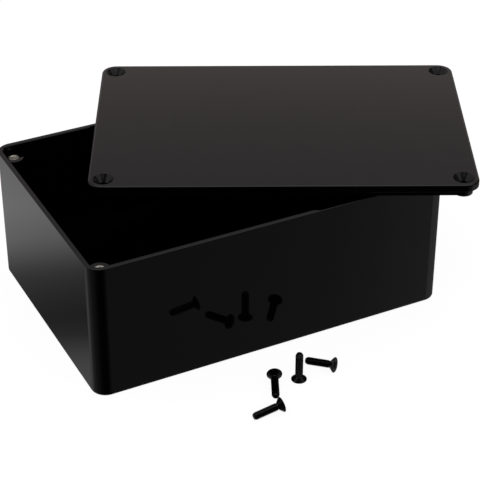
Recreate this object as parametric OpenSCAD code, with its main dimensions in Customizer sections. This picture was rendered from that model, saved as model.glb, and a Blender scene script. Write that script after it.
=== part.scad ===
// Screw-lid project box: an open tub with four insert posts, its lid lying askew on the rim,
// four threaded inserts and the four lid screws lying loose in front of the box.
// The origin is at the centre of the tub's underside: +X along the tub, +Y to its back, +Z up.

/* [Box] */
// Outside length of the tub and of its lid
body_l = 150; // [130:1:180]
// Outside width of the tub and of its lid
body_w = 102; // [90:1:120]
// Height of the tub, from its underside to its rim
body_h = 57; // [40:1:80]
// Outside radius of the upright corners
corner_r = 6; // [5:0.1:7.5]
// Thickness of the side walls
wall = 2; // [1.6:0.1:2.6]
// Thickness of the tub's bottom
bottom_t = 2.5; // [2:0.1:4]
// Rounding of the tub's lower edge
foot_r = 1; // [0.5:0.1:1.5]
// Rounding outside and bevel inside along the rim
rim_r = 0.3; // [0.2:0.05:0.5]

/* [Screw posts] */
// Distance of each screw axis from the two outside faces
hole_inset = 6; // [5.6:0.1:7]
// Outside diameter of the posts in the tub's corners
post_d = 8; // [7.4:0.1:9]
// Running room left over the posts when the lid is screwed down
post_gap = 0.2; // [0.1:0.05:0.5]
// Depth of the screw hole in each post, from the top of the post
post_bore_depth = 14; // [12:0.5:20]

/* [Lid] */
// Thickness of the lid's plate
lid_t = 3; // [2.6:0.1:4]
// Rounding of the lid's upper edge
lid_r = 0.8; // [0.4:0.1:1.2]
// Bevel of the lid's lower edge
lid_bevel = 0.3; // [0.2:0.05:0.5]
// Height of the locating lip under the plate
lip_h = 2.6; // [1.6:0.1:3]
// Thickness of the locating lip
lip_t = 1.6; // [1.2:0.1:2.2]
// Clearance all round between the lip and the tub's walls
lip_gap = 0.15; // [0.1:0.05:0.4]
// Height of the round screw bosses under the plate
lid_boss_h = 3.2; // [3:0.1:3.6]
// Diameter of the clearance holes through the lid
lid_hole_d = 3.4; // [3.2:0.1:4]
// Diameter of the countersinks at the lid's upper face
sink_d = 8.2; // [6.4:0.1:8.4]

/* [Lid position] */
// Distance of the lid's centre from the tub's centre, to the right
lid_x = 32.8; // [20:0.1:40]
// Distance of the lid's centre from the tub's centre, to the back
lid_y = 8.7; // [0:0.1:16]
// Turn of the lid on the rim, in degrees
lid_turn = -26.2; // [-32:0.1:-20]

/* [Inserts] */
// Outside diameter of the threaded inserts
insert_d = 4.2; // [3.8:0.1:4.6]
// Length of the threaded inserts
insert_l = 5.7; // [4:0.1:8]
// Diameter of the tapped hole through each insert
insert_bore_d = 2.5; // [2.3:0.1:2.7]
// Bevel at both ends of the tapped hole
insert_bevel = 0.35; // [0.2:0.05:0.5]

/* [Screws] */
// Overall length of the countersunk screws
screw_l = 12; // [8:0.5:16]
// Thread diameter
screw_d = 3; // [2.5:0.1:3.2]
// Head diameter
head_d = 6; // [5.5:0.1:6.3]
// Height of the straight edge round the head
head_edge = 0.25; // [0.1:0.05:0.4]
// Bevel at the tip
tip_bevel = 0.4; // [0.2:0.05:0.6]
// Width across the cross recess, at the face of the head
recess_w = 3.2; // [2.6:0.1:3.6]
// Width of each slot of the cross recess
recess_slot = 0.75; // [0.5:0.05:0.9]
// Depth of the cross recess
recess_depth = 1.6; // [1:0.1:1.8]

/* [Hidden] */
$fn = 96;

// Each loose screw: place of its head along X, its distance in front of the tub, and for a
// lying one the direction that its tip points to, in degrees from +X
SCREW_FRONT = [-16.4, 36.6, 181];
SCREW_LEFT = [-10.4, 19, 245];
SCREW_STANDING = [-1.7, 22.6];
SCREW_RIGHT = [12.8, 24.4, 128.5];

BODY_COLOR = "#161616";
BRASS_COLOR = "#c9a94f";
SCREW_COLOR = "#101010";

cut = 1; // how far every cutter runs past the face that it opens
inner_l = body_l - 2 * wall;
inner_w = body_w - 2 * wall;
inner_r = corner_r - wall;
lip_inset = wall + lip_gap;
lid_boss_r = hole_inset - lip_inset;
post_top = body_h - lid_boss_h - post_gap;
post_block = hole_inset + post_d / 4;
insert_z = post_top - insert_l;
lid_z = body_h + lip_h;
head_r = head_d / 2;
screw_r = screw_d / 2;
recess_tip_r = recess_slot / 2;
// A lying screw touches the ground at its head's edge and at the end of its thread
lie_angle = atan((head_r - screw_r) / (screw_l - tip_bevel - head_edge));
lie_z = head_r * cos(lie_angle) + head_edge * sin(lie_angle);

// Rounded rectangle, centred
module outline(l, w, r) {
    square([l - 2 * r, w], center = true);
    square([l, w - 2 * r], center = true);
    at_corners(l / 2 - r, w / 2 - r) circle(r);
}

// Puts a copy of its child at the four points (+-x, +-y)
module at_corners(x, y) {
    for (sx = [-1, 1], sy = [-1, 1])
        translate([sx * x, sy * y]) children();
}

// Puts a copy of its child on the four screw axes
module at_screws() {
    at_corners(body_l / 2 - hole_inset, body_w / 2 - hole_inset) children();
}

// Upright section of width w and height h, standing on y = 0, with its lower corners rounded
module soft_section(w, h, edge_r) {
    translate([-w / 2, edge_r]) square([w, h - edge_r]);
    translate([edge_r - w / 2, 0]) square([w - 2 * edge_r, edge_r]);
    for (side = [-1, 1])
        translate([side * (w / 2 - edge_r), edge_r]) circle(edge_r);
}

// Flat slab from z = 0 to z = h with its lower edge rounded
module half_slab(l, w, r, h, edge_r) {
    rotate([90, 0, 90])
        linear_extrude(l - 2 * r, center = true)
            soft_section(w, h, edge_r);
    rotate([90, 0, 0])
        linear_extrude(w - 2 * r, center = true)
            soft_section(l, h, edge_r);
    at_corners(l / 2 - r, w / 2 - r)
        rotate_extrude()
            intersection() {
                soft_section(2 * r, h, edge_r);
                square([r, h]);
            }
}

// Flat slab from z = 0 to z = h whose lower edge is rounded by low_r and whose upper edge by high_r,
// as two halves that overlap along the middle of its upright sides
module soft_slab(l, w, r, h, low_r, high_r) {
    shared_h = (h - low_r - high_r) / 2;
    half_slab(l, w, r, h - high_r - shared_h / 2, low_r);
    translate([0, 0, h])
        mirror([0, 0, 1])
            half_slab(l, w, r, h - low_r - shared_h / 2, high_r);
}

// Rounded rectangle that widens by b over its height b and goes on straight by the cut
module flare(l, w, r, b) {
    for (turn = [0, 90]) {
        across = turn == 0 ? w : l;
        along = turn == 0 ? l : w;
        rotate([90, 0, 90 + turn])
            linear_extrude(along - 2 * r, center = true)
                polygon([
                    [-across / 2, 0], [across / 2, 0],
                    [across / 2 + b, b], [-across / 2 - b, b]
                ]);
    }
    at_corners(l / 2 - r, w / 2 - r) cylinder(h = b, r1 = r, r2 = r + b);
    translate([0, 0, b])
        linear_extrude(cut) outline(l + 2 * b, w + 2 * b, r + b);
}

// Plan of the four posts, joined to the walls by a block that fills the tub's corner
module posts() {
    at_screws() circle(d = post_d);
    at_corners((body_l - post_block) / 2, (body_w - post_block) / 2)
        square(post_block, center = true);
}

module tub() {
    color(BODY_COLOR)
    difference() {
        soft_slab(body_l, body_w, corner_r, body_h, foot_r, rim_r);
        translate([0, 0, bottom_t])
            linear_extrude(body_h)
                difference() {
                    outline(inner_l, inner_w, inner_r);
                    posts();
                }
        translate([0, 0, post_top])
            linear_extrude(body_h) outline(inner_l, inner_w, inner_r);
        translate([0, 0, body_h - rim_r])
            flare(inner_l, inner_w, inner_r, rim_r);
        at_screws()
            translate([0, 0, insert_z])
                cylinder(h = insert_l + cut, d = insert_d);
        at_screws()
            translate([0, 0, post_top - post_bore_depth])
                cylinder(h = post_bore_depth, d = lid_hole_d);
    }
}

// The insert of one corner, flush with the top of its post
module insert(side_x, side_y) {
    color(BRASS_COLOR)
    translate([
        side_x * (body_l / 2 - hole_inset),
        side_y * (body_w / 2 - hole_inset),
        insert_z
    ])
        difference() {
            cylinder(h = insert_l, d = insert_d);
            translate([0, 0, -cut])
                cylinder(h = insert_l + 2 * cut, d = insert_bore_d);
            for (end = [0, 1])
                translate([0, 0, end * insert_l])
                    mirror([0, 0, end])
                        bevel_cutter(insert_bore_d, insert_bevel);
        }
}

// Cone that bevels the mouth of a hole of diameter d, opening downwards at z = 0
module bevel_cutter(d, b) {
    translate([0, 0, -b])
        cylinder(h = 2 * b, r1 = d / 2 + 2 * b, r2 = d / 2);
}

module lid() {
    color(BODY_COLOR)
    translate([lid_x, lid_y, lid_z])
        rotate([0, 0, lid_turn])
            difference() {
                union() {
                    soft_slab(body_l, body_w, corner_r, lid_t, lid_bevel, lid_r);
                    lip();
                    at_screws()
                        translate([0, 0, -lid_boss_h])
                            cylinder(h = lid_boss_h + lid_t / 2, r = lid_boss_r);
                }
                at_screws() countersunk_hole();
            }
}

// Locating lip that drops inside the tub's walls
module lip() {
    translate([0, 0, -lip_h])
        linear_extrude(lip_h + lid_t / 2)
            difference() {
                outline(
                    body_l - 2 * lip_inset,
                    body_w - 2 * lip_inset,
                    corner_r - lip_inset
                );
                outline(
                    body_l - 2 * (lip_inset + lip_t),
                    body_w - 2 * (lip_inset + lip_t),
                    corner_r - lip_inset - lip_t
                );
            }
}

// Clearance hole through plate and boss, with a 90 degree countersink at the upper face
module countersunk_hole() {
    sink_r = sink_d / 2;
    translate([0, 0, -lid_boss_h - cut])
        cylinder(h = lid_boss_h + lid_t + 2 * cut, d = lid_hole_d);
    translate([0, 0, lid_t - sink_r])
        cylinder(h = sink_r + cut, r1 = 0, r2 = sink_r + cut);
}

// One screw, standing on its head with its axis along +Z
module screw() {
    color(SCREW_COLOR)
    difference() {
        rotate_extrude()
            polygon([
                [0, 0],
                [head_r, 0],
                [head_r, head_edge],
                [screw_r, head_edge + head_r - screw_r],
                [screw_r, screw_l - tip_bevel],
                [screw_r - tip_bevel, screw_l],
                [0, screw_l]
            ]);
        cross_recess();
    }
}

// Two crossed slots that narrow towards their bottom
module cross_recess() {
    intersection() {
        for (turn = [0, 90])
            rotate([0, 0, turn])
                cube([recess_w, recess_slot, 2 * recess_depth], center = true);
        translate([0, 0, -recess_depth])
            cylinder(
                h = 2 * recess_depth,
                r1 = recess_w - recess_tip_r,
                r2 = recess_tip_r
            );
    }
}

// One screw lying on the ground; place is its entry in the list of loose screws
module lying_screw(place) {
    translate([place[0], -body_w / 2 - place[1], lie_z])
        rotate([0, 90 + lie_angle, place[2]])
            screw();
}

module standing_screw(place) {
    translate([place[0], -body_w / 2 - place[1], 0]) screw();
}

tub();
lid();
insert(-1, -1);  // insert_front_left
insert(1, -1);  // insert_front_right
insert(-1, 1);  // insert_back_left
insert(1, 1);  // insert_back_right
lying_screw(SCREW_FRONT);  // screw_lying_front
lying_screw(SCREW_LEFT);  // screw_lying_left
standing_screw(SCREW_STANDING);  // screw_standing
lying_screw(SCREW_RIGHT);  // screw_lying_right
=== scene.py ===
"""Looks of the screw-lid project box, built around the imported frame.

The tub and the lid keep their solids and get moulded plastic. The four inserts and the four
loose screws are replaced by pieces with real threads, knurls and recesses in the same places.
"""

import math

import bmesh
import bpy
from mathutils import Matrix, Vector


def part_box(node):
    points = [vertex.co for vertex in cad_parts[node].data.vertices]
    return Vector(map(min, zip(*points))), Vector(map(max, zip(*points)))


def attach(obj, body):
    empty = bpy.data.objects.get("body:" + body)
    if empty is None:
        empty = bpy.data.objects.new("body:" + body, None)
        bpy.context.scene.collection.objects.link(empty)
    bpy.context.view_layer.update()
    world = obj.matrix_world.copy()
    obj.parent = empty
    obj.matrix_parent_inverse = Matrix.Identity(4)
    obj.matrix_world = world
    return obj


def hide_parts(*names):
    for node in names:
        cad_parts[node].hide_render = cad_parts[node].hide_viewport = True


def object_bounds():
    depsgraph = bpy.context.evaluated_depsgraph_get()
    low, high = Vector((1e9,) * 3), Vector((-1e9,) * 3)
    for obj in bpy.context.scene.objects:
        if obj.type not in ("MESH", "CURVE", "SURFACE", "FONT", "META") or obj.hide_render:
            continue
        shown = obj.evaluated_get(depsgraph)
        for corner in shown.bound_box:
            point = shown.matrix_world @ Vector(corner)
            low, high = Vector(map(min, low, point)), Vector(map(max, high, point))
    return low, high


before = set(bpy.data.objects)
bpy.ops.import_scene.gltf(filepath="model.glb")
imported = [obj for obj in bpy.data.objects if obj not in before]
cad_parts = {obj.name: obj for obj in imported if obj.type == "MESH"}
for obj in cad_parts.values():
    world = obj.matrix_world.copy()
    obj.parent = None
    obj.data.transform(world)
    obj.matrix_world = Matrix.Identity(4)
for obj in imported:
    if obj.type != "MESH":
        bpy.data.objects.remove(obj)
CAD_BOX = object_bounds()

MM = 0.001


# ---------------------------------------------------------------- node helpers


def add(tree, kind, **settings):
    """A new node of that kind, with its own settings."""
    node = tree.nodes.new(kind)
    for name, value in settings.items():
        setattr(node, name, value)
    return node


def set_input(tree, node, name, value):
    """Links a socket to the named input, or stores a plain value in it."""
    if isinstance(value, bpy.types.NodeSocket):
        tree.links.new(value, node.inputs[name])
    else:
        node.inputs[name].default_value = value


def math_node(tree, operation, a, b=0.0):
    """The result of that operation on one or two values."""
    node = add(tree, "ShaderNodeMath", operation=operation)
    set_input(tree, node, 0, a)
    set_input(tree, node, 1, b)
    return node.outputs[0]


def rescale(tree, value, low, high, to_low=0.0, to_high=1.0):
    """The value, moved from the range low..high to the range to_low..to_high."""
    node = add(tree, "ShaderNodeMapRange")
    for name, number in zip(
        ("Value", "From Min", "From Max", "To Min", "To Max"),
        (value, low, high, to_low, to_high),
    ):
        set_input(tree, node, name, number)
    return node.outputs["Result"]


def mix_colours(tree, share, a, b):
    """Colour a where the share is 0, and colour b where it is 1."""
    node = add(tree, "ShaderNodeMix", data_type="RGBA")
    colour_inputs = [s for s in node.inputs if s.type == "RGBA"]
    set_input(tree, node, 0, share)
    for socket, value in zip(colour_inputs, (a, b)):
        if isinstance(value, bpy.types.NodeSocket):
            tree.links.new(value, socket)
        else:
            socket.default_value = (*value, 1.0)
    return next(s for s in node.outputs if s.type == "RGBA")


def ramp(tree, place, stops):
    """A colour ramp over 0..1; stops are (place, colour)."""
    node = add(tree, "ShaderNodeValToRGB")
    elements = node.color_ramp.elements
    while len(elements) < len(stops):
        elements.new(1.0)
    for element, (position, colour) in zip(elements, stops):
        element.position = position
        element.color = (*colour, 1.0)
    tree.links.new(place, node.inputs["Fac"])
    return node.outputs["Color"]


def noise(tree, size, detail=3.0, stretch=(1.0, 1.0, 1.0)):
    """Noise over the surface, from about 0 to 1; size is that of its grains, in metres."""
    place = add(tree, "ShaderNodeTexCoord").outputs["Object"]
    scaled = add(tree, "ShaderNodeMapping")
    scaled.inputs["Scale"].default_value = [s / size for s in stretch]
    tree.links.new(place, scaled.inputs["Vector"])
    texture = add(tree, "ShaderNodeTexNoise")
    texture.inputs["Scale"].default_value = 1.0
    texture.inputs["Detail"].default_value = detail
    tree.links.new(scaled.outputs["Vector"], texture.inputs["Vector"])
    return texture.outputs["Fac"]


def bump(tree, height, depth, under=None):
    """Bump of that depth in metres, laid over another one."""
    node = add(tree, "ShaderNodeBump")
    node.inputs["Strength"].default_value = 1.0
    node.inputs["Distance"].default_value = depth
    tree.links.new(height, node.inputs["Height"])
    if under is not None:
        tree.links.new(under, node.inputs["Normal"])
    return node.outputs["Normal"]


def new_material(name, **constants):
    """A material with one Principled shader; constants go straight into its sockets."""
    material = bpy.data.materials.new(name)
    material.use_nodes = True
    tree = material.node_tree
    shader = tree.nodes["Principled BSDF"]
    for socket, value in constants.items():
        shader.inputs[socket.replace("_", " ")].default_value = value
    return material, tree, shader


# ---------------------------------------------------------------- materials

CLOUD_SIZE = 22 * MM
SMEAR_SIZE = 6 * MM
WAVE_SIZE = 30 * MM
TARNISH_SIZE = 0.8 * MM
SCRATCH_SIZE = 0.12 * MM
SCRATCH_DEPTH = 0.004 * MM
BLOTCH_SIZE = 1.2 * MM
GRIT_SIZE = 0.15 * MM
GRIT_DEPTH = 0.006 * MM


def moulded_plastic(name, dark, light, gloss, grain_size, grain_depth, wave_depth):
    """Black ABS. gloss is the range of its roughness; the grain is the mould's own texture,
    and the wave is the slight unevenness of a flat moulded wall."""
    material, tree, shader = new_material(name, IOR=1.5)
    clouds = noise(tree, CLOUD_SIZE, detail=4.0)
    smears = noise(tree, SMEAR_SIZE, detail=6.0, stretch=(1.0, 1.0, 0.5))
    grain = noise(tree, grain_size, detail=2.0)
    waves = noise(tree, WAVE_SIZE, detail=1.0)
    colour = mix_colours(tree, rescale(tree, clouds, 0.3, 0.7), dark, light)
    tree.links.new(colour, shader.inputs["Base Color"])
    tree.links.new(rescale(tree, smears, 0.25, 0.75, *gloss), shader.inputs["Roughness"])
    surface = bump(tree, grain, grain_depth, bump(tree, waves, wave_depth))
    tree.links.new(surface, shader.inputs["Normal"])
    return material


def brass():
    """Bright brass, a little tarnished and finely scratched."""
    material, tree, shader = new_material("brass_turned", Metallic=1.0, IOR=1.5)
    tarnish = noise(tree, TARNISH_SIZE, detail=4.0)
    scratches = noise(tree, SCRATCH_SIZE, detail=3.0)
    colour = mix_colours(
        tree, rescale(tree, tarnish, 0.3, 0.75), (0.93, 0.90, 0.82), (0.84, 0.79, 0.66)
    )
    tree.links.new(colour, shader.inputs["Base Color"])
    tree.links.new(rescale(tree, scratches, 0.3, 0.7, 0.2, 0.38), shader.inputs["Roughness"])
    tree.links.new(bump(tree, scratches, SCRATCH_DEPTH), shader.inputs["Normal"])
    return material


def black_steel():
    """Black oxide on steel: nearly black, with an oily gloss."""
    material, tree, shader = new_material("steel_black_oxide", Metallic=0.0, IOR=1.42)
    blotches = noise(tree, BLOTCH_SIZE, detail=4.0)
    grit = noise(tree, GRIT_SIZE, detail=3.0)
    colour = mix_colours(
        tree,
        rescale(tree, blotches, 0.3, 0.7),
        (0.0008, 0.0008, 0.0009),
        (0.0020, 0.0019, 0.0018),
    )
    tree.links.new(colour, shader.inputs["Base Color"])
    tree.links.new(rescale(tree, grit, 0.3, 0.7, 0.12, 0.24), shader.inputs["Roughness"])
    tree.links.new(bump(tree, grit, GRIT_DEPTH), shader.inputs["Normal"])
    return material


# ---------------------------------------------------------------- mesh helpers

MERGE_DISTANCE = 0.0005 * MM
SHARP_ANGLE = 35  # degrees between two faces from which their edge is shaded sharp

# M3 thread, on the screws and in the inserts
PITCH = 0.5 * MM
THREAD_DEPTH = 0.29 * MM
THREAD_FADE = 0.4 * MM
# Section of the thread: (place along the pitch, share of the depth)
THREAD_SHAPE = ((0.0, 0.0), (0.16, 0.0), (0.5, 1.0), (0.66, 1.0))


def ring_point(radius, angle, z):
    """The point at that radius and angle round the Z axis."""
    return (radius * math.cos(angle), radius * math.sin(angle), z)


def add_grid(bm, rows):
    """Quads between rows of points; each row closes on itself."""
    made = [[bm.verts.new(p) for p in row] for row in rows]
    for lower, upper in zip(made, made[1:]):
        for i, corner in enumerate(lower):
            j = (i + 1) % len(lower)
            bm.faces.new((corner, lower[j], upper[j], upper[i]))


def add_profile(bm, profile, segments):
    """Turns a profile of (radius, z) round the Z axis."""
    add_grid(
        bm,
        [
            [ring_point(radius, math.tau * i / segments, z) for i in range(segments)]
            for radius, z in profile
        ],
    )


def add_thread(bm, low, high, end_radius, crest_radius, root_radius, segments):
    """A helical thread from z = low to z = high, between two plain rings of end_radius.
    Each row of points follows the helix, and both ends are clamped to their plane."""
    turns = math.ceil((high - low) / PITCH)
    rows = [
        (turn + place, height)
        for turn in range(-1, turns + 1)
        for place, height in THREAD_SHAPE
    ]
    grid = []
    for along, height in rows:
        radius = root_radius + (crest_radius - root_radius) * height
        points = []
        for i in range(segments + 1):
            z = min(max(low + PITCH * (along + i / segments), low), high)
            share = min((z - low) / THREAD_FADE, (high - z) / THREAD_FADE, 1.0)
            faded = end_radius + (radius - end_radius) * share
            points.append(bm.verts.new(ring_point(faded, math.tau * i / segments, z)))
        grid.append(points)
    for lower, upper in zip(grid, grid[1:]):
        for i in range(segments):
            bm.faces.new((lower[i], lower[i + 1], upper[i + 1], upper[i]))


def to_mesh(bm, name):
    """A mesh of what bm holds, with its faces turned outward. It frees bm."""
    bmesh.ops.recalc_face_normals(bm, faces=bm.faces)
    mesh = bpy.data.meshes.new(name)
    bm.to_mesh(mesh)
    bm.free()
    return mesh


def shade(mesh):
    """Smooth shading, apart from the sharp edges."""
    mesh.shade_smooth()
    mesh.set_sharp_from_angle(angle=math.radians(SHARP_ANGLE))


def close_mesh(bm, name, material):
    """Merges what meets and makes the object."""
    bmesh.ops.remove_doubles(bm, verts=bm.verts, dist=MERGE_DISTANCE)
    mesh = to_mesh(bm, name)
    shade(mesh)
    mesh.materials.append(material)
    piece = bpy.data.objects.new(name, mesh)
    bpy.context.scene.collection.objects.link(piece)
    return piece


def place(piece, origin, axis, up):
    """Puts the piece's origin at a point with its +Z along axis and its +X in the plane of up,
    and leaves the place in its mesh."""
    z = axis.normalized()
    x = (up - up.dot(z) * z).normalized()
    y = z.cross(x)
    turn = Matrix((x, y, z)).transposed().to_4x4()
    piece.data.transform(Matrix.Translation(origin) @ turn)


def stand_for(piece, node):
    """Lets the piece take the CAD node's place."""
    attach(piece, "root")
    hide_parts(node)


# ---------------------------------------------------------------- inserts

INSERT_SEGMENTS = 96
INSERT_GAP = 0.01 * MM  # between the insert and the wall of its hole
COLLAR_HEIGHT = 0.6 * MM
KNURL_DEPTH = 0.11 * MM
KNURL_RISE = 0.15 * MM
KNURL_COLUMNS = 4  # columns of points for each tooth of the knurl
GROOVE_DEPTH = 0.3 * MM
GROOVE_ENDS = (0.42, 0.56)  # of the insert's length
EDGE_BEVEL = 0.05 * MM
BORE_SHARE = 2.5 / 4.2  # diameter of the tapped hole over the outside diameter
MOUTH_BEVEL = 0.35 * MM


def add_knurl(bm, root, crest, low, high):
    """Straight knurl from z = low to z = high, which rises from the root's radius at both ends."""

    def radius_at(share, column):
        tooth = abs(column % KNURL_COLUMNS - KNURL_COLUMNS / 2) / (KNURL_COLUMNS / 2)
        return root + (crest - root) * tooth * share

    add_grid(
        bm,
        [
            [
                ring_point(radius_at(share, i), math.tau * i / INSERT_SEGMENTS, z)
                for i in range(INSERT_SEGMENTS)
            ]
            for share, z in ((0, low), (1, low + KNURL_RISE), (1, high - KNURL_RISE), (0, high))
        ],
    )


def insert_piece(node, material):
    """Knurled brass insert with a collar and a tapped hole, in the box of its CAD node."""
    low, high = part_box(node)
    length = high.z - low.z
    radius = (high.x - low.x) / 2 - INSERT_GAP
    bore = radius * BORE_SHARE
    plain = radius - KNURL_DEPTH
    groove_low, groove_high = (share * length for share in GROOVE_ENDS)
    collar_low = length - COLLAR_HEIGHT

    bm = bmesh.new()
    # Underside, from the bore's bevel to the lower knurl
    add_profile(
        bm,
        [
            (bore, MOUTH_BEVEL),
            (bore + MOUTH_BEVEL, 0),
            (plain - EDGE_BEVEL, 0),
            (plain, EDGE_BEVEL),
            (plain, 2 * KNURL_RISE),
        ],
        INSERT_SEGMENTS,
    )
    add_knurl(bm, plain, radius, 2 * KNURL_RISE, groove_low)
    add_profile(
        bm,
        [
            (plain, groove_low),
            (plain - GROOVE_DEPTH, groove_low + KNURL_RISE),
            (plain - GROOVE_DEPTH, groove_high - KNURL_RISE),
            (plain, groove_high),
        ],
        INSERT_SEGMENTS,
    )
    add_knurl(bm, plain, radius, groove_high, collar_low - KNURL_RISE)
    # Collar and upper face, from the knurl to the bore's bevel
    add_profile(
        bm,
        [
            (plain, collar_low - KNURL_RISE),
            (plain, collar_low),
            (radius, collar_low),
            (radius, length - EDGE_BEVEL),
            (radius - EDGE_BEVEL, length),
            (bore + MOUTH_BEVEL, length),
            (bore, length - MOUTH_BEVEL),
        ],
        INSERT_SEGMENTS,
    )
    add_thread(
        bm,
        MOUTH_BEVEL,
        length - MOUTH_BEVEL,
        bore,
        bore,
        bore + THREAD_DEPTH,
        INSERT_SEGMENTS,
    )
    piece = close_mesh(bm, node.replace("insert_", "threaded_insert_"), material)
    middle = Vector(((low.x + high.x) / 2, (low.y + high.y) / 2, low.z))
    place(piece, middle, Vector((0, 0, 1)), Vector((1, 0, 0)))
    stand_for(piece, node)


# ---------------------------------------------------------------- screws

SCREW_SEGMENTS = 72
HEAD_EDGE = 0.25 * MM
HEAD_SOFTNESS = 0.06 * MM
SHANK_RADIUS = 1.5 * MM
# Neck under the cone: (radius over the shank's, height over the end of the cone)
NECK = ((0.15 * MM, -0.15 * MM), (-0.06 * MM, 0.05 * MM))
NECK_LENGTH = 0.3 * MM
# Last point of the neck: radius over the thread's root, and height under the thread
NECK_END = (0.03 * MM, 0.1 * MM)
TIP_LENGTH = 0.35 * MM
# Tip: (radius under the thread's root, height under the end of the screw)
TIP = ((0.1 * MM, 0.05 * MM), (0.18 * MM, 0.0))

RECESS_HALF = 1.6 * MM
RECESS_TIP = 0.375 * MM
RECESS_DEPTH = 1.6 * MM
RECESS_SLOT = 0.75 * MM
RECESS_OVERSHOOT = 0.2 * MM  # how far the cutters run past the face of the head
RECESS_CONE = (0.85 * MM, 0.3 * MM)  # radius of the cone at the cutters' two ends
RECESS_CONE_SEGMENTS = 24

PLACE_DIGITS = 7  # decimals, in metres, to which vertices at one place agree
END_BAND = 0.1 * MM  # how close to an end a point lies to count as part of it
AXIS_STEPS = 20  # rounds in which the screw's axis is found


def screw_ends(node):
    """Centre of the head's face, centre of the tip, and the head's radius, from the CAD mesh."""
    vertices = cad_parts[node].data.vertices
    places = {tuple(round(c, PLACE_DIGITS) for c in vertex.co) for vertex in vertices}
    points = [Vector(point) for point in places]
    middle = sum(points, Vector()) / len(points)
    axis = max((p - middle for p in points), key=lambda p: p.length)
    for _ in range(AXIS_STEPS):
        axis = sum(((p - middle) * (p - middle).dot(axis) for p in points), Vector())
        axis.normalize()
    reach = [(p - middle).dot(axis) for p in points]
    ends = []
    for limit in (min(reach), max(reach)):
        rim = [p for p, r in zip(points, reach) if abs(r - limit) < END_BAND]
        around = middle + axis * limit
        widest = max((p - around).length for p in rim)
        rim = [p for p in rim if (p - around).length > widest - 2 * END_BAND]
        centre = sum(rim, Vector()) / len(rim)
        ends.append((max((p - centre).length for p in rim), centre))
    (_, tip), (head_radius, head) = sorted(ends, key=lambda end: end[0])
    return head, tip, head_radius


def slot_cutter(turn):
    """One slot of the cross, which narrows towards its bottom; turn is in degrees."""
    half_slot = RECESS_SLOT / 2
    slope = (RECESS_HALF - RECESS_TIP) / RECESS_DEPTH
    top_half = RECESS_HALF + slope * RECESS_OVERSHOOT
    bm = bmesh.new()
    rings = []
    for z, half in ((-RECESS_OVERSHOOT, top_half), (RECESS_DEPTH, RECESS_TIP)):
        corners = (
            (-half, -half_slot, z),
            (half, -half_slot, z),
            (half, half_slot, z),
            (-half, half_slot, z),
        )
        rings.append([bm.verts.new(corner) for corner in corners])
    lower, upper = rings
    bm.faces.new(lower)
    bm.faces.new(upper)
    for i in range(4):
        j = (i + 1) % 4
        bm.faces.new((lower[i], lower[j], upper[j], upper[i]))
    bmesh.ops.rotate(bm, verts=bm.verts, matrix=Matrix.Rotation(math.radians(turn), 3, "Z"))
    return to_mesh(bm, "recess_slot")


def cone_cutter():
    """The cone in the middle of the cross."""
    bm = bmesh.new()
    bmesh.ops.create_cone(
        bm,
        cap_ends=True,
        segments=RECESS_CONE_SEGMENTS,
        radius1=RECESS_CONE[0],
        radius2=RECESS_CONE[1],
        depth=RECESS_DEPTH + RECESS_OVERSHOOT,
        matrix=Matrix.Translation((0, 0, (RECESS_DEPTH - RECESS_OVERSHOOT) / 2)),
    )
    return to_mesh(bm, "recess_cone")


def cut_away(piece, meshes):
    """Takes the meshes out of the piece, and deletes them."""
    for mesh in meshes:
        cutter = bpy.data.objects.new(mesh.name, mesh)
        bpy.context.scene.collection.objects.link(cutter)
        boolean = piece.modifiers.new("recess", "BOOLEAN")
        boolean.operation = "DIFFERENCE"
        boolean.solver = "EXACT"
        boolean.object = cutter
    graph = bpy.context.evaluated_depsgraph_get()
    result = bpy.data.meshes.new_from_object(piece.evaluated_get(graph))
    piece.modifiers.clear()
    old = piece.data
    piece.data = result
    for mesh in (old, *meshes):
        bpy.data.meshes.remove(mesh)
    shade(result)


def screw_piece(node, material):
    """Countersunk M3 screw with a real thread and a cross recess, on its CAD node's axis."""
    head, tip, head_radius = screw_ends(node)
    length = (tip - head).length
    root = SHANK_RADIUS - THREAD_DEPTH
    cone_end = HEAD_EDGE + head_radius - SHANK_RADIUS
    thread_low = cone_end + NECK_LENGTH
    thread_high = length - TIP_LENGTH
    bm = bmesh.new()
    add_profile(
        bm,
        [
            (0, 0),
            (head_radius - HEAD_SOFTNESS, 0),
            (head_radius - HEAD_SOFTNESS * 0.3, HEAD_SOFTNESS * 0.3),
            (head_radius, HEAD_SOFTNESS),
            (head_radius, HEAD_EDGE),
            *((SHANK_RADIUS + over, cone_end + rise) for over, rise in NECK),
            (root + NECK_END[0], thread_low - NECK_END[1]),
            (root, thread_low),
        ],
        SCREW_SEGMENTS,
    )
    add_thread(bm, thread_low, thread_high, root, SHANK_RADIUS, root, SCREW_SEGMENTS)
    add_profile(
        bm,
        [
            (root, thread_high),
            *((root - under, length - drop) for under, drop in TIP),
            (0, length),
        ],
        SCREW_SEGMENTS,
    )
    piece = close_mesh(bm, node.replace("screw_", "threaded_screw_"), material)
    cut_away(piece, [slot_cutter(0), slot_cutter(90), cone_cutter()])
    axis = tip - head
    lies = abs(axis.z) < abs(axis.x) + abs(axis.y)
    place(piece, head, axis, Vector((0, 0, -1)) if lies else Vector((1, 0, 0)))
    stand_for(piece, node)


# ---------------------------------------------------------------- studio

FLOOR_HALF = 6.0
FLOOR_DROP = 0.02 * MM  # how far the floor lies under the object, so that no faces coincide
FLOOR_GLOW = 0.93
FLOOR_CLOUD_SIZE = 0.4

# What polished faces reflect, by direction. Headings are in degrees, from +X towards +Y.

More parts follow.
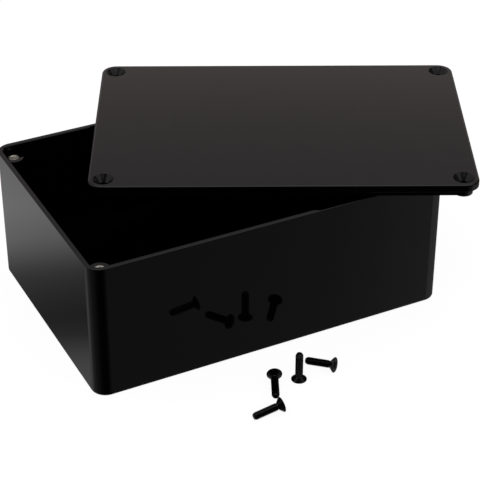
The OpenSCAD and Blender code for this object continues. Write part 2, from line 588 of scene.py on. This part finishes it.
# (heading, strength) of what lies around the box, below the horizon
RING = (
    (0, 0.17),
    (27, 0.09),
    (50, 0.12),
    (80, 0.20),
    (104, 0.20),
    (122, 0.26),
    (132, 0.36),
    (142, 0.33),
    (152, 0.23),
    (165, 0.15),
    (192, 0.095),
    (212, 0.053),
    (228, 0.012),
    (262, 0.003),
    (274, 0.03),
    (288, 0.10),
    (298, 0.115),
    (301.5, 0.14),
    (305, 0.22),
    (312, 0.31),
    (320, 0.33),
    (337, 0.26),
)
# (heading, share) of the card to the left of the box
LEFT_CARD_WIDTH = ((80, 0.0), (98, 1.0), (117, 1.0), (126, 0.0))
# (degrees below the horizon, strength) of that card
LEFT_CARD = (
    (0, 0.05),
    (14, 0.25),
    (28, 0.44),
    (31.3, 0.55),
    (32.4, 0.42),
    (33.2, 0.22),
    (33.6, 0.13),
    (34.3, 0.085),
    (35.2, 0.055),
    (35.9, 0.08),
    (36.8, 0.22),
    (40, 0.30),
)
# The sky: (degrees above the horizon, strength, redness) to the left of the box, behind it,
# to its right and on the dark side where the camera stands
LEFT_SKY = ((0, 0.10), (12, 0.16), (25, 0.30), (37, 0.42), (48, 0.45), (68, 1.20), (90, 0.80))
FAR_SKY = (
    (0, 0.0, 0.0),
    (4, 0.02, 0.0),
    (7, 0.12, 0.05),
    (13, 0.40, 0.10),
    (18, 0.60, 0.15),
    (22, 0.60, 0.17),
    (25, 0.52, 0.17),
    (26.7, 0.405, 0.17),
    (28.7, 0.295, 0.10),
    (30.5, 0.285, 0.08),
    (33, 0.27, 0.05),
    (38, 0.24, 0.0),
    (48, 0.28, 0.0),
    (68, 1.20, 0.0),
    (90, 0.80, 0.0),
)
RIGHT_SKY = ((0, 0.02), (12, 0.05), (25, 0.09), (37, 0.14), (48, 0.25), (68, 1.20), (90, 0.80))
CAMERA_SIDE_SKY = ((0, 0.0), (20, 0.02), (50, 0.03), (59, 0.08), (62, 0.4), (70, 1.1), (90, 0.8))
# Each panel of the sky after the first: (heading, share) round the box, and what it shows
SKY_PANELS = (
    (((200, 0.0), (240, 1.0), (15, 1.0), (35, 0.0)), RIGHT_SKY),
    (((15, 0.0), (42, 1.0), (86, 1.0), (108, 0.0)), FAR_SKY),
    (((178, 0.0), (212, 1.0), (275, 1.0), (305, 0.0)), CAMERA_SIDE_SKY),
)
# (heading, degrees above the horizon, radius in degrees, strength) of the two soft boxes
SOFT_BOXES = ((164, 44, 22, 0.45), (320, 50, 22, 0.45))
# What a surface that isn't polished receives from everywhere
AMBIENT = 0.15


def floor():
    """Wide pale floor. It is mostly self-lit, so that only a faint contact shadow shows on it."""
    corners = [
        (side_x * FLOOR_HALF, side_y * FLOOR_HALF, 0)
        for side_x, side_y in ((-1, -1), (1, -1), (1, 1), (-1, 1))
    ]
    mesh = bpy.data.meshes.new("floor")
    mesh.from_pydata(corners, [], [(0, 1, 2, 3)])
    surface = bpy.data.objects.new("floor", mesh)
    bpy.context.scene.collection.objects.link(surface)
    surface.location.z = CAD_BOX[0].z - FLOOR_DROP
    material, tree, shader = new_material("floor_paper", IOR=1.1, Emission_Strength=FLOOR_GLOW)
    shader.inputs["Emission Color"].default_value = (1, 1, 1, 1)
    shader.inputs["Specular IOR Level"].default_value = 0.0
    clouds = noise(tree, FLOOR_CLOUD_SIZE, detail=1.0)
    colour = mix_colours(tree, clouds, (0.60, 0.60, 0.60), (0.64, 0.64, 0.64))
    tree.links.new(colour, shader.inputs["Base Color"])
    mesh.materials.append(material)
    surface.visible_glossy = False
    surface.visible_diffuse = False


def grey(strength, redness=0.0):
    """A grey of that strength; redness is the share of red that is added to it."""
    return (strength * (1 + redness), strength, strength)


def heading_stop(heading, strength):
    """A stop of a ramp that goes once round the box."""
    return (((heading + 180) % 360) / 360, grey(strength))


def studio():
    """Soft studio light. Polished faces reflect the tables above, other light is the same all
    round, and the camera sees plain white."""
    world = bpy.data.worlds.new("studio")
    bpy.context.scene.world = world
    world.use_nodes = True
    world.cycles.sampling_method = "NONE"
    tree = world.node_tree
    direction = add(tree, "ShaderNodeTexCoord").outputs["Generated"]
    split = add(tree, "ShaderNodeSeparateXYZ")
    tree.links.new(direction, split.inputs[0])
    x, y, z = split.outputs
    heading = rescale(tree, math_node(tree, "ARCTAN2", y, x), -math.pi, math.pi)
    rise = math_node(tree, "ARCSINE", z)
    above = rescale(tree, rise, 0.0, math.pi / 2)
    below = rescale(tree, rise, 0.0, -math.pi / 2)

    def around(stops):
        return ramp(tree, heading, sorted(heading_stop(*stop) for stop in stops))

    def upright(height, stops):
        return ramp(tree, height, [(angle / 90, grey(*values)) for angle, *values in stops])

    lower = mix_colours(tree, around(LEFT_CARD_WIDTH), around(RING), upright(below, LEFT_CARD))
    upper = upright(above, LEFT_SKY)
    for width, sky in SKY_PANELS:
        upper = mix_colours(tree, around(width), upper, upright(above, sky))
    for box_heading, box_rise, radius, strength in SOFT_BOXES:
        turn, tilt = math.radians(box_heading), math.radians(box_rise)
        facing = add(tree, "ShaderNodeVectorMath", operation="DOT_PRODUCT")
        tree.links.new(direction, facing.inputs[0])
        facing.inputs[1].default_value = (
            math.cos(turn) * math.cos(tilt),
            math.sin(turn) * math.cos(tilt),
            math.sin(tilt),
        )
        edge = math.cos(math.radians(radius))
        share = rescale(tree, facing.outputs["Value"], edge, (1 + edge) / 2)
        upper = mix_colours(tree, share, upper, grey(strength))
    is_above = math_node(tree, "GREATER_THAN", z, 0.0)
    reflected = mix_colours(tree, is_above, lower, upper)

    path = add(tree, "ShaderNodeLightPath")
    lit = mix_colours(tree, path.outputs["Is Glossy Ray"], (AMBIENT,) * 3, reflected)
    seen = mix_colours(tree, path.outputs["Is Camera Ray"], lit, (1.0, 1.0, 1.0))
    background = tree.nodes["Background"]
    background.inputs["Strength"].default_value = 1.0
    tree.links.new(seen, background.inputs["Color"])


# ---------------------------------------------------------------- camera

# Where the camera looks, seen from the tub's centre
AIM = Vector((6.41, -7.5, -5.97)) * MM
# Where it stands, seen from there: degrees from the front towards the right, and upwards
AZIMUTH = -26.66
ELEVATION = 32.76
DISTANCE = 660.8 * MM
# Width of the sensor and focal length, in millimetres
SENSOR = 36
LENS = 122.3
# Nearest and farthest distance that it sees
CLIP = (0.05, 50)


def camera():
    """Camera at the photographer's place, aimed from the tub's centre."""
    low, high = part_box("tub")
    target = (low + high) / 2 + AIM
    azimuth, elevation = math.radians(AZIMUTH), math.radians(ELEVATION)
    back = Vector(
        (
            math.sin(azimuth) * math.cos(elevation),
            -math.cos(azimuth) * math.cos(elevation),
            math.sin(elevation),
        )
    )
    data = bpy.data.cameras.new("camera")
    data.sensor_width = SENSOR
    data.lens = LENS
    data.clip_start, data.clip_end = CLIP
    made = bpy.data.objects.new("camera", data)
    bpy.context.scene.collection.objects.link(made)
    made.location = target + back * DISTANCE
    made.rotation_euler = (-back).to_track_quat("-Z", "Y").to_euler()
    bpy.context.scene.camera = made


# ---------------------------------------------------------------- build

camera()
studio()
floor()
bpy.context.scene.view_settings.view_transform = "Standard"

TUB_PLASTIC = moulded_plastic(
    "plastic_polished",
    dark=(0.0016, 0.0016, 0.0017),
    light=(0.0024, 0.0024, 0.0024),
    gloss=(0.03, 0.06),
    grain_size=0.5 * MM,
    grain_depth=0.0004 * MM,
    wave_depth=0.004 * MM,
)
LID_PLASTIC = moulded_plastic(
    "plastic_satin",
    dark=(0.0020, 0.0019, 0.0019),
    light=(0.0030, 0.0028, 0.0028),
    gloss=(0.07, 0.11),
    grain_size=0.35 * MM,
    grain_depth=0.004 * MM,
    wave_depth=0.004 * MM,
)
BRASS = brass()
BLACK_STEEL = black_steel()

for node, plastic in (("tub", TUB_PLASTIC), ("lid", LID_PLASTIC)):
    for material_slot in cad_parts[node].material_slots:
        material_slot.material = plastic
for node in sorted(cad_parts):
    if node.startswith("insert_"):
        insert_piece(node, BRASS)
    elif node.startswith("screw_"):
        screw_piece(node, BLACK_STEEL)
